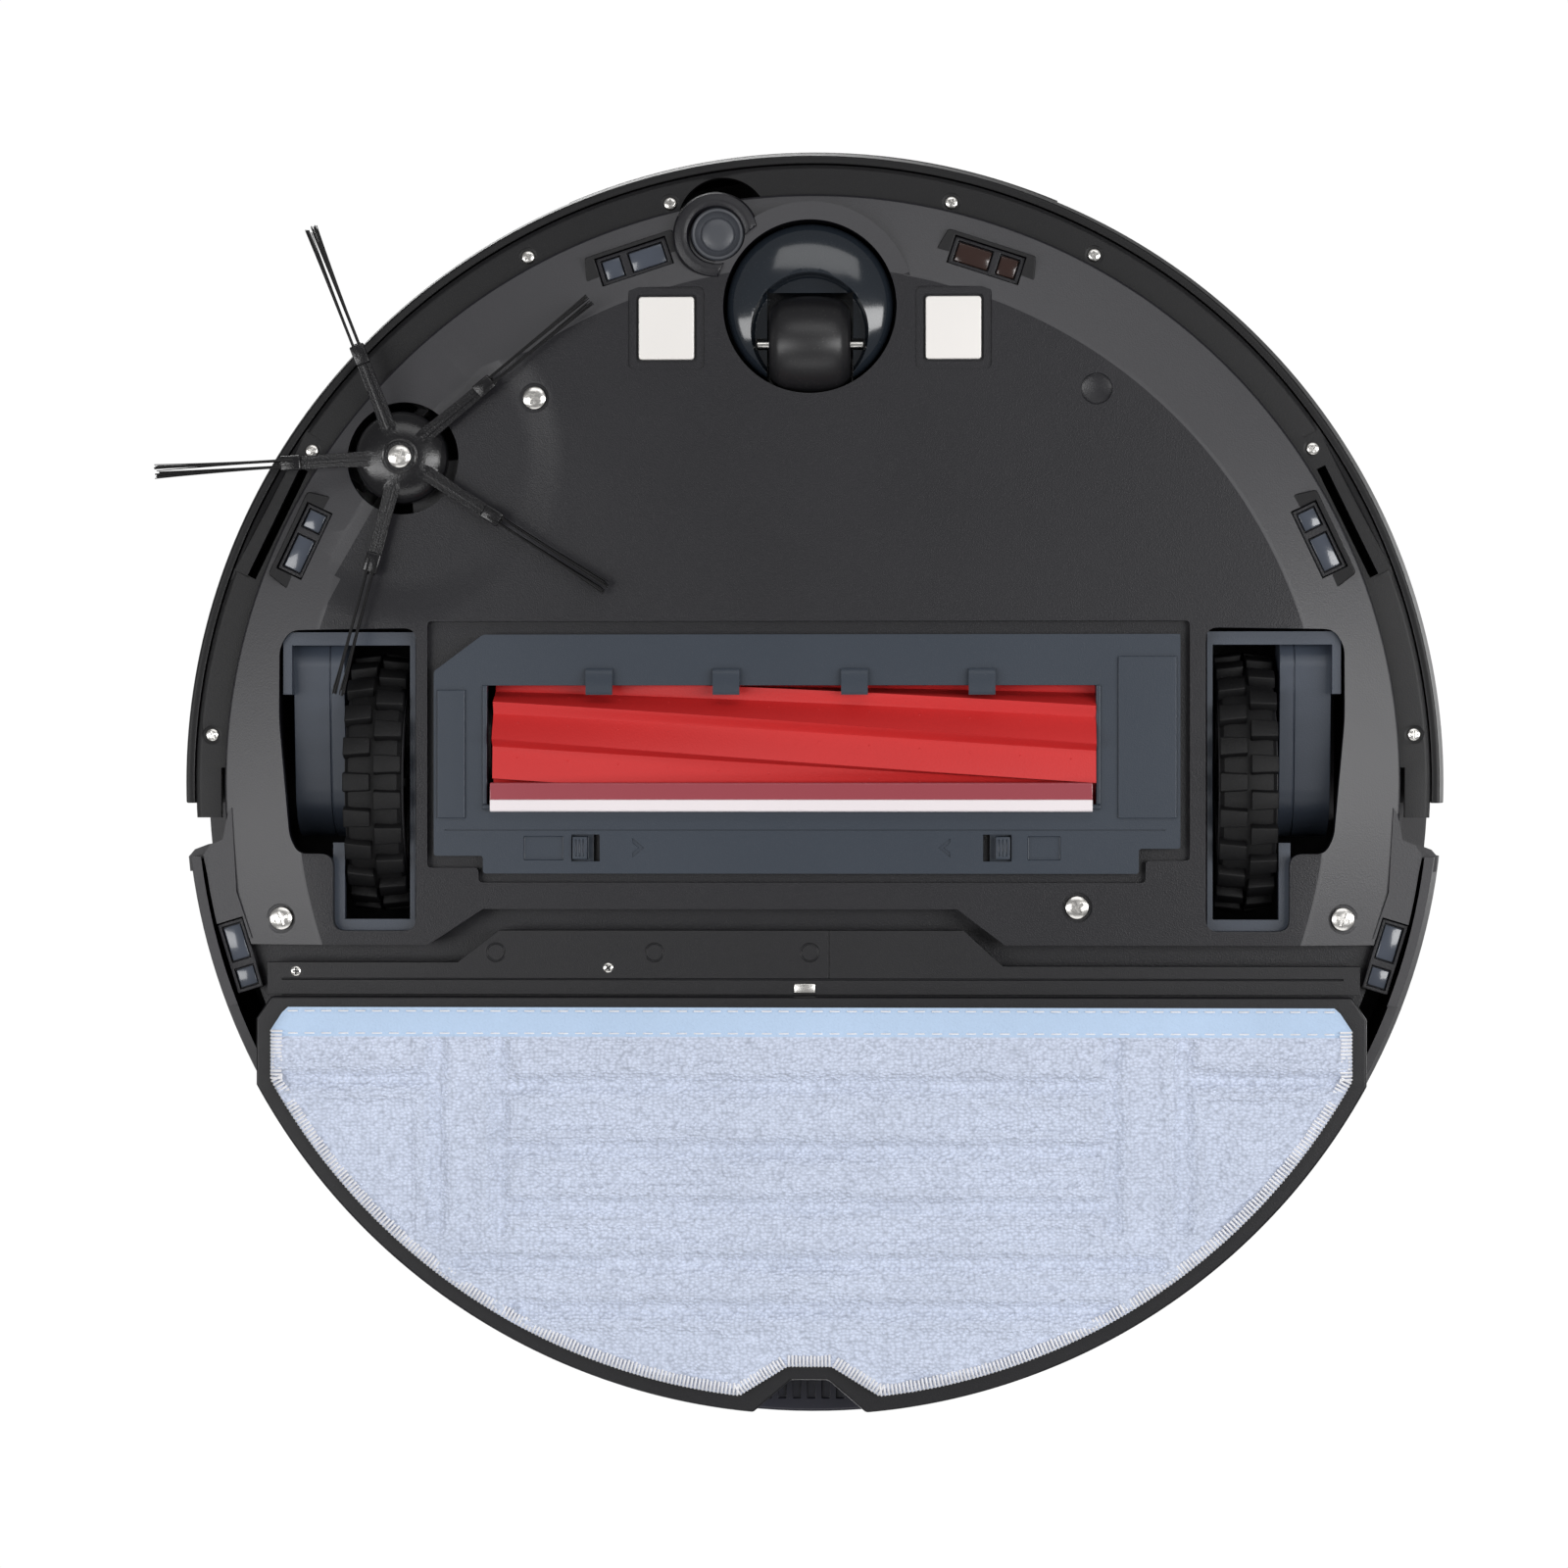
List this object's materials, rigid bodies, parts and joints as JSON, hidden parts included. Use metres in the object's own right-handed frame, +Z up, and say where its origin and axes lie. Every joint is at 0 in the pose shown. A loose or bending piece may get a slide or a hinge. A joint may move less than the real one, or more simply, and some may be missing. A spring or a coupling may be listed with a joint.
{
  "type": "robot vacuum cleaner",
  "caption": "Round low robot floor cleaner with driven wheels, brush roller behind a slotted cover, side brush, spring bumper, lidar turret, dust bin and water tank with a mop cloth.",
  "frame": {"origin": "on the floor under the middle of the round body, where the driving wheels touch", "axes": "+Z up, -Y forwards to the bumper, +X to the left of travel, through the driving wheels' axle"},
  "size_m": [0.3537, 0.351, 0.0965],
  "materials": {
    "chassis_plastic": "fine matt",
    "bumper_plastic": "satin",
    "top_plastic": "satin",
    "slate_plastic": "satin",
    "dark_plastic": "matt",
    "tyre_rubber": "moulded blocks",
    "roller_rubber": "moulded fins",
    "scraper_rubber": "soft translucent",
    "bristle": "nylon bundles",
    "steel": "plated",
    "contact_metal": "plated",
    "smoked_window": "smoked glossy",
    "sensor_window": "smoked glossy",
    "mop_fabric": "woven microfibre",
    "tank_plastic": "smoked satin",
    "board": "varnished board",
    "filter_paper": "pleated",
    "cell_wrap": "shrink sleeve",
    "pump_white": "matt"
  },
  "bodies": {
    "vacuum": {"battery_pack": "cell_wrap", "bottom_chassis": "chassis_plastic", "brush_bearing_left": "dark_plastic", "brush_bearing_right": "dark_plastic", "brush_housing": "dark_plastic", "brush_motor": "steel", "carpet_sensor": "slate_plastic", "charging_contact_left": "contact_metal", "charging_contact_right": "contact_metal", "chassis_screw_front": "steel", "chassis_screw_rear_inner": "steel", "chassis_screw_rear_left": "steel", "chassis_screw_rear_right": "steel", "cliff_sensor_front_left": "sensor_window", "cliff_sensor_front_right": "smoked_window", "cliff_sensor_rear_left": "sensor_window", "cliff_sensor_rear_right": "sensor_window", "cliff_sensor_side_left": "sensor_window", "cliff_sensor_side_right": "sensor_window", "dust_filter": "filter_paper", "dustbin": "smoked_window", "left_wheel_bracket": "slate_plastic", "lidar_base": "top_plastic", "lidar_cover": "top_plastic", "main_board": "board", "right_wheel_bracket": "slate_plastic", "side_brush_motor": "dark_plastic", "suction_fan": "pump_white", "upper_shell": "top_plastic"},
    "bumper": {"bumper_skin": "bumper_plastic", "bumper_rail": "bumper_plastic"},
    "key_left_body": {"key_left": "top_plastic"},
    "key_centre_body": {"key_centre": "top_plastic"},
    "key_right_body": {"key_right": "top_plastic"},
    "lid": {"dust_lid": "top_plastic"},
    "lidar": {"lidar_rotor": "smoked_window"},
    "caster": {"caster_housing": "slate_plastic"},
    "caster_roll_body": {"caster_wheel": "tyre_rubber", "caster_axle": "steel"},
    "side_brush": {"side_brush_hub": "dark_plastic", "side_brush_bristles": "bristle", "side_brush_screw": "steel"},
    "left_drive": {"left_wheel_gearbox": "slate_plastic", "left_wheel_spring": "steel"},
    "left_wheel": {"left_tyre": "tyre_rubber", "left_wheel_hub": "dark_plastic"},
    "right_drive": {"right_wheel_gearbox": "slate_plastic", "right_wheel_spring": "steel"},
    "right_wheel": {"right_tyre": "tyre_rubber", "right_wheel_hub": "dark_plastic"},
    "roller": {"main_brush": "roller_rubber"},
    "cover": {"brush_cover": "slate_plastic", "scraper": "scraper_rubber"},
    "latch_left_body": {"latch_left": "slate_plastic"},
    "latch_right_body": {"latch_right": "slate_plastic"},
    "mop_lift_body": {"mop_carrier": "dark_plastic"},
    "mop": {"mop_plate": "dark_plastic", "mop_cloth": "mop_fabric"},
    "tank": {"water_tank": "tank_plastic"},
    "tank_catch": {"tank_latch": "slate_plastic"}
  },
  "joints": [
    {"name": "bumper_press", "type": "slide", "parent": "vacuum", "child": "bumper", "axis": [0, 1, 0], "range_m": [0, 0.0025], "stiffness_N_per_m": 600},
    {"name": "key_left_press", "type": "slide", "parent": "vacuum", "child": "key_left_body", "axis": [0, 0, -1], "range_m": [0, 0.0006], "stiffness_N_per_m": 900},
    {"name": "key_centre_press", "type": "slide", "parent": "vacuum", "child": "key_centre_body", "axis": [0, 0, -1], "range_m": [0, 0.0006], "stiffness_N_per_m": 900},
    {"name": "key_right_press", "type": "slide", "parent": "vacuum", "child": "key_right_body", "axis": [0, 0, -1], "range_m": [0, 0.0006], "stiffness_N_per_m": 900},
    {"name": "dust_lid_hinge", "type": "hinge", "parent": "vacuum", "child": "lid", "pos_m": [0, 0.0295, 0.0775], "axis": [1, 0, 0], "range_deg": [0, 75]},
    {"name": "lidar_spin", "type": "hinge", "parent": "vacuum", "child": "lidar", "pos_m": [0, -0.03, 0.075], "axis": [0, 0, 1], "continuous": true},
    {"name": "caster_swivel", "type": "hinge", "parent": "vacuum", "child": "caster", "pos_m": [0, -0.1293, 0.03], "axis": [0, 0, 1], "continuous": true},
    {"name": "caster_roll", "type": "hinge", "parent": "caster", "child": "caster_roll_body", "pos_m": [0, -0.1193, 0.0132], "axis": [1, 0, 0], "continuous": true},
    {"name": "side_brush_spin", "type": "hinge", "parent": "vacuum", "child": "side_brush", "pos_m": [-0.1112, -0.0884, 0.008], "axis": [0, 0, 1], "continuous": true},
    {"name": "left_suspension", "type": "hinge", "parent": "vacuum", "child": "left_drive", "pos_m": [-0.135, -0.0325, 0.026], "axis": [-1, 0, 0], "range_deg": [0, 34], "stiffness_Nm_per_rad": 1, "springref_deg": 51.57, "deforming": ["side_brush_bristles"]},
    {"name": "left_wheel_spin", "type": "hinge", "parent": "left_drive", "child": "left_wheel", "pos_m": [-0.1187, 0, 0.036], "axis": [1, 0, 0], "continuous": true},
    {"name": "right_suspension", "type": "hinge", "parent": "vacuum", "child": "right_drive", "pos_m": [0.135, -0.0325, 0.026], "axis": [-1, 0, 0], "range_deg": [0, 34], "stiffness_Nm_per_rad": 1, "springref_deg": 51.57},
    {"name": "right_wheel_spin", "type": "hinge", "parent": "right_drive", "child": "right_wheel", "pos_m": [0.1187, 0, 0.036], "axis": [1, 0, 0], "continuous": true},
    {"name": "main_brush_spin", "type": "hinge", "parent": "vacuum", "child": "roller", "pos_m": [0, -0.01, 0.0205], "axis": [1, 0, 0], "continuous": true},
    {"name": "brush_cover_lift", "type": "slide", "parent": "vacuum", "child": "cover", "axis": [0, 0, -1], "range_m": [0, 0.025]},
    {"name": "latch_left_slide", "type": "slide", "parent": "cover", "child": "latch_left_body", "axis": [1, 0, 0], "range_m": [0, 0.003], "stiffness_N_per_m": 400},
    {"name": "latch_right_slide", "type": "slide", "parent": "cover", "child": "latch_right_body", "axis": [-1, 0, 0], "range_m": [0, 0.003], "stiffness_N_per_m": 400},
    {"name": "mop_lift", "type": "slide", "parent": "vacuum", "child": "mop_lift_body", "axis": [0, 0, 1], "range_m": [0, 0.005]},
    {"name": "mop_plate_slide", "type": "slide", "parent": "mop_lift_body", "child": "mop", "axis": [0, 1, 0], "range_m": [0, 0.06]},
    {"name": "water_tank_slide", "type": "slide", "parent": "vacuum", "child": "tank", "axis": [0, 1, 0], "range_m": [0, 0.08]},
    {"name": "tank_latch_press", "type": "slide", "parent": "tank", "child": "tank_catch", "axis": [0, -1, 0], "range_m": [0, 0.0025], "stiffness_N_per_m": 500}
  ]
}
